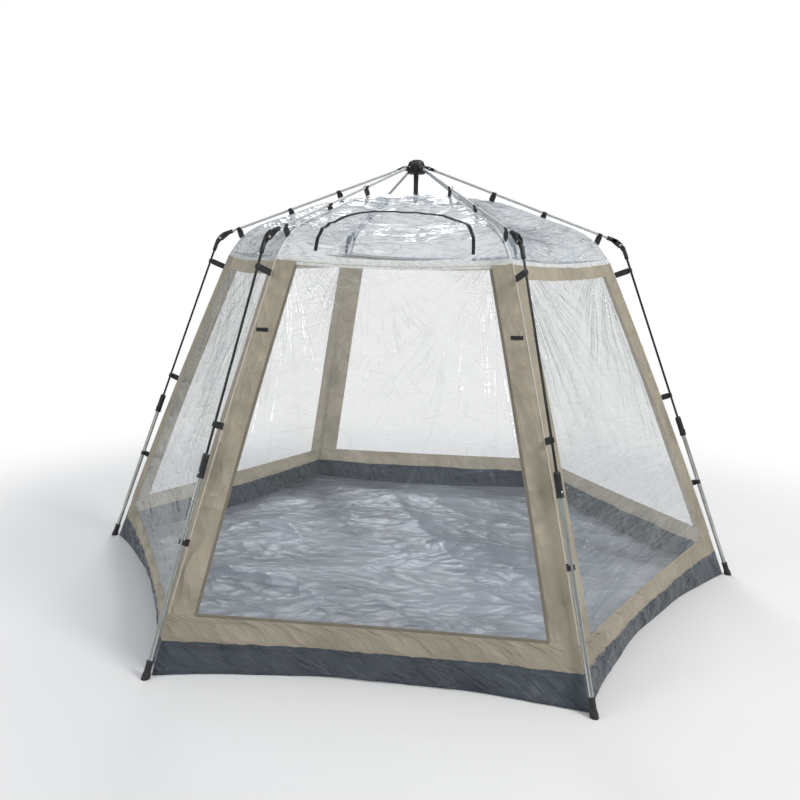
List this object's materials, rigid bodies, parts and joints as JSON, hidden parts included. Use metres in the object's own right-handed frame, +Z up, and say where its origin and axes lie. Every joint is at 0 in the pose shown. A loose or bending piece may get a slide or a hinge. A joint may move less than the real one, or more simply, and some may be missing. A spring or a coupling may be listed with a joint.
{
  "type": "camping tent",
  "caption": "Six-sided camping tent: clear film canopy with khaki bands and a sewn tub, hung from a folding hub frame with telescoping legs.",
  "frame": {"origin": "centre of the bounding box at its base: on the ground, under the hub", "axes": "+X to the right corner seen from the door, -Y out of the door, +Z up"},
  "size_m": [3.03, 2.6278, 1.8503],
  "materials": {
    "black_plastic": "satin",
    "hub_cap": "satin",
    "grey_rib": "satin",
    "black_rod": "satin",
    "silver_tube": "satin",
    "rubber": "matte",
    "steel_button": "polished",
    "clear_film": "gloss",
    "khaki_cloth": "matte",
    "dark_tub": "matte"
  },
  "bodies": {
    "canopy": {"roof": "clear_film", "wall_front_right": "clear_film", "wall_back_right": "clear_film", "wall_back": "clear_film", "wall_back_left": "clear_film", "wall_front_left": "clear_film", "corner_strip_front_right": "khaki_cloth", "corner_strip_right": "khaki_cloth", "corner_strip_back_right": "khaki_cloth", "corner_strip_back_left": "khaki_cloth", "corner_strip_left": "khaki_cloth", "corner_strip_front_left": "khaki_cloth", "bottom_band": "khaki_cloth", "floor_tub": "dark_tub"},
    "hub": {"hub": "black_plastic", "hub_cap": "hub_cap"},
    "rib_front_right": {"rib_front_right": "grey_rib", "elbow_front_right": "black_plastic"},
    "leg_front_right": {"leg_rod_front_right": "black_rod"},
    "lower_leg_front_right": {"lock_sleeve_front_right": "black_plastic", "lower_tube_front_right": "silver_tube", "foot_front_right": "rubber"},
    "button_front_right": {"lock_button_front_right": "steel_button"},
    "rib_right": {"rib_right": "grey_rib", "elbow_right": "black_plastic"},
    "leg_right": {"leg_rod_right": "black_rod"},
    "lower_leg_right": {"lock_sleeve_right": "black_plastic", "lower_tube_right": "silver_tube", "foot_right": "rubber"},
    "button_right": {"lock_button_right": "steel_button"},
    "rib_back_right": {"rib_back_right": "grey_rib", "elbow_back_right": "black_plastic"},
    "leg_back_right": {"leg_rod_back_right": "black_rod"},
    "lower_leg_back_right": {"lock_sleeve_back_right": "black_plastic", "lower_tube_back_right": "silver_tube", "foot_back_right": "rubber"},
    "button_back_right": {"lock_button_back_right": "steel_button"},
    "rib_back_left": {"rib_back_left": "grey_rib", "elbow_back_left": "black_plastic"},
    "leg_back_left": {"leg_rod_back_left": "black_rod"},
    "lower_leg_back_left": {"lock_sleeve_back_left": "black_plastic", "lower_tube_back_left": "silver_tube", "foot_back_left": "rubber"},
    "button_back_left": {"lock_button_back_left": "steel_button"},
    "rib_left": {"rib_left": "grey_rib", "elbow_left": "black_plastic"},
    "leg_left": {"leg_rod_left": "black_rod"},
    "lower_leg_left": {"lock_sleeve_left": "black_plastic", "lower_tube_left": "silver_tube", "foot_left": "rubber"},
    "button_left": {"lock_button_left": "steel_button"},
    "rib_front_left": {"rib_front_left": "grey_rib", "elbow_front_left": "black_plastic"},
    "leg_front_left": {"leg_rod_front_left": "black_rod"},
    "lower_leg_front_left": {"lock_sleeve_front_left": "black_plastic", "lower_tube_front_left": "silver_tube", "foot_front_left": "rubber"},
    "button_front_left": {"lock_button_front_left": "steel_button"},
    "door": {"door_panel": "clear_film"},
    "roof_window": {"roof_window": "clear_film"}
  },
  "joints": [
    {"name": "hub_drop", "type": "slide", "parent": "canopy", "child": "hub", "axis": [0, 0, -1], "range_m": [0, 1.74], "deforming": ["roof", "wall_front_right", "wall_back_right", "wall_back", "wall_back_left", "wall_front_left", "corner_strip_front_right", "corner_strip_right", "corner_strip_back_right", "corner_strip_back_left", "corner_strip_left", "corner_strip_front_left", "bottom_band", "floor_tub", "door_panel", "roof_window"]},
    {"name": "rib_hinge_front_right", "type": "hinge", "parent": "hub", "child": "rib_front_right", "pos_m": [0.03, -0.05196, 1.81], "axis": [-0.866, -0.5, 0], "range_deg": [0, 109.96]},
    {"name": "elbow_hinge_front_right", "type": "hinge", "parent": "rib_front_right", "child": "leg_front_right", "pos_m": [0.45378, -0.78597, 1.49136], "axis": [0.866, 0.5, 0], "range_deg": [0, 131.23]},
    {"name": "leg_telescope_front_right", "type": "slide", "parent": "leg_front_right", "child": "lower_leg_front_right", "axis": [-0.1814, 0.3142, 0.9319], "range_m": [0, 0.6405]},
    {"name": "lock_button_front_right", "type": "slide", "parent": "lower_leg_front_right", "child": "button_front_right", "axis": [-0.4659, 0.807, -0.3628], "range_m": [0, 0.0025], "stiffness_N_per_m": 200},
    {"name": "rib_hinge_right", "type": "hinge", "parent": "hub", "child": "rib_right", "pos_m": [0.06, 0, 1.81], "axis": [0, -1, 0], "range_deg": [0, 109.96]},
    {"name": "elbow_hinge_right", "type": "hinge", "parent": "rib_right", "child": "leg_right", "pos_m": [0.90756, 0, 1.49136], "axis": [0, 1, 0], "range_deg": [0, 131.23]},
    {"name": "leg_telescope_right", "type": "slide", "parent": "leg_right", "child": "lower_leg_right", "axis": [-0.3628, 0, 0.9319], "range_m": [0, 0.6405]},
    {"name": "lock_button_right", "type": "slide", "parent": "lower_leg_right", "child": "button_right", "axis": [-0.9319, 0, -0.3628], "range_m": [0, 0.0025], "stiffness_N_per_m": 200},
    {"name": "rib_hinge_back_right", "type": "hinge", "parent": "hub", "child": "rib_back_right", "pos_m": [0.03, 0.05196, 1.81], "axis": [0.866, -0.5, 0], "range_deg": [0, 109.96]},
    {"name": "elbow_hinge_back_right", "type": "hinge", "parent": "rib_back_right", "child": "leg_back_right", "pos_m": [0.45378, 0.78597, 1.49136], "axis": [-0.866, 0.5, 0], "range_deg": [0, 131.23]},
    {"name": "leg_telescope_back_right", "type": "slide", "parent": "leg_back_right", "child": "lower_leg_back_right", "axis": [-0.1814, -0.3142, 0.9319], "range_m": [0, 0.6405]},
    {"name": "lock_button_back_right", "type": "slide", "parent": "lower_leg_back_right", "child": "button_back_right", "axis": [-0.4659, -0.807, -0.3628], "range_m": [0, 0.0025], "stiffness_N_per_m": 200},
    {"name": "rib_hinge_back_left", "type": "hinge", "parent": "hub", "child": "rib_back_left", "pos_m": [-0.03, 0.05196, 1.81], "axis": [0.866, 0.5, 0], "range_deg": [0, 109.96]},
    {"name": "elbow_hinge_back_left", "type": "hinge", "parent": "rib_back_left", "child": "leg_back_left", "pos_m": [-0.45378, 0.78597, 1.49136], "axis": [-0.866, -0.5, 0], "range_deg": [0, 131.23]},
    {"name": "leg_telescope_back_left", "type": "slide", "parent": "leg_back_left", "child": "lower_leg_back_left", "axis": [0.1814, -0.3142, 0.9319], "range_m": [0, 0.6405]},
    {"name": "lock_button_back_left", "type": "slide", "parent": "lower_leg_back_left", "child": "button_back_left", "axis": [0.4659, -0.807, -0.3628], "range_m": [0, 0.0025], "stiffness_N_per_m": 200},
    {"name": "rib_hinge_left", "type": "hinge", "parent": "hub", "child": "rib_left", "pos_m": [-0.06, 0, 1.81], "axis": [0, 1, 0], "range_deg": [0, 109.96]},
    {"name": "elbow_hinge_left", "type": "hinge", "parent": "rib_left", "child": "leg_left", "pos_m": [-0.90756, 0, 1.49136], "axis": [0, -1, 0], "range_deg": [0, 131.23]},
    {"name": "leg_telescope_left", "type": "slide", "parent": "leg_left", "child": "lower_leg_left", "axis": [0.3628, 0, 0.9319], "range_m": [0, 0.6405]},
    {"name": "lock_button_left", "type": "slide", "parent": "lower_leg_left", "child": "button_left", "axis": [0.9319, 0, -0.3628], "range_m": [0, 0.0025], "stiffness_N_per_m": 200},
    {"name": "rib_hinge_front_left", "type": "hinge", "parent": "hub", "child": "rib_front_left", "pos_m": [-0.03, -0.05196, 1.81], "axis": [-0.866, 0.5, 0], "range_deg": [0, 109.96]},
    {"name": "elbow_hinge_front_left", "type": "hinge", "parent": "rib_front_left", "child": "leg_front_left", "pos_m": [-0.45378, -0.78597, 1.49136], "axis": [0.866, -0.5, 0], "range_deg": [0, 131.23]},
    {"name": "leg_telescope_front_left", "type": "slide", "parent": "leg_front_left", "child": "lower_leg_front_left", "axis": [0.1814, 0.3142, 0.9319], "range_m": [0, 0.6405]},
    {"name": "lock_button_front_left", "type": "slide", "parent": "lower_leg_front_left", "child": "button_front_left", "axis": [0.4659, 0.807, -0.3628], "range_m": [0, 0.0025], "stiffness_N_per_m": 200},
    {"name": "door_swing", "type": "hinge", "parent": "canopy", "child": "door", "pos_m": [0, -0.73711, 1.402], "axis": [-1, 0, 0], "range_deg": [0, 85]},
    {"name": "roof_window_lift", "type": "hinge", "parent": "canopy", "child": "roof_window", "pos_m": [0, -0.726, 1.42], "axis": [1, 0, 0], "range_deg": [0, 60]}
  ],
  "couplings": [
    {"joint": "rib_hinge_front_right", "follows": "hub_drop", "rad_per_m": 1.1024},
    {"joint": "elbow_hinge_front_right", "follows": "hub_drop", "rad_per_m": 1.3158},
    {"joint": "leg_telescope_front_right", "follows": "hub_drop", "ratio": 0.36782},
    {"joint": "rib_hinge_right", "follows": "hub_drop", "rad_per_m": 1.1024},
    {"joint": "elbow_hinge_right", "follows": "hub_drop", "rad_per_m": 1.3158},
    {"joint": "leg_telescope_right", "follows": "hub_drop", "ratio": 0.36782},
    {"joint": "rib_hinge_back_right", "follows": "hub_drop", "rad_per_m": 1.1024},
    {"joint": "elbow_hinge_back_right", "follows": "hub_drop", "rad_per_m": 1.3158},
    {"joint": "leg_telescope_back_right", "follows": "hub_drop", "ratio": 0.36782},
    {"joint": "rib_hinge_back_left", "follows": "hub_drop", "rad_per_m": 1.1024},
    {"joint": "elbow_hinge_back_left", "follows": "hub_drop", "rad_per_m": 1.3158},
    {"joint": "leg_telescope_back_left", "follows": "hub_drop", "ratio": 0.36782},
    {"joint": "rib_hinge_left", "follows": "hub_drop", "rad_per_m": 1.1024},
    {"joint": "elbow_hinge_left", "follows": "hub_drop", "rad_per_m": 1.3158},
    {"joint": "leg_telescope_left", "follows": "hub_drop", "ratio": 0.36782},
    {"joint": "rib_hinge_front_left", "follows": "hub_drop", "rad_per_m": 1.1024},
    {"joint": "elbow_hinge_front_left", "follows": "hub_drop", "rad_per_m": 1.3158},
    {"joint": "leg_telescope_front_left", "follows": "hub_drop", "ratio": 0.36782}
  ]
}
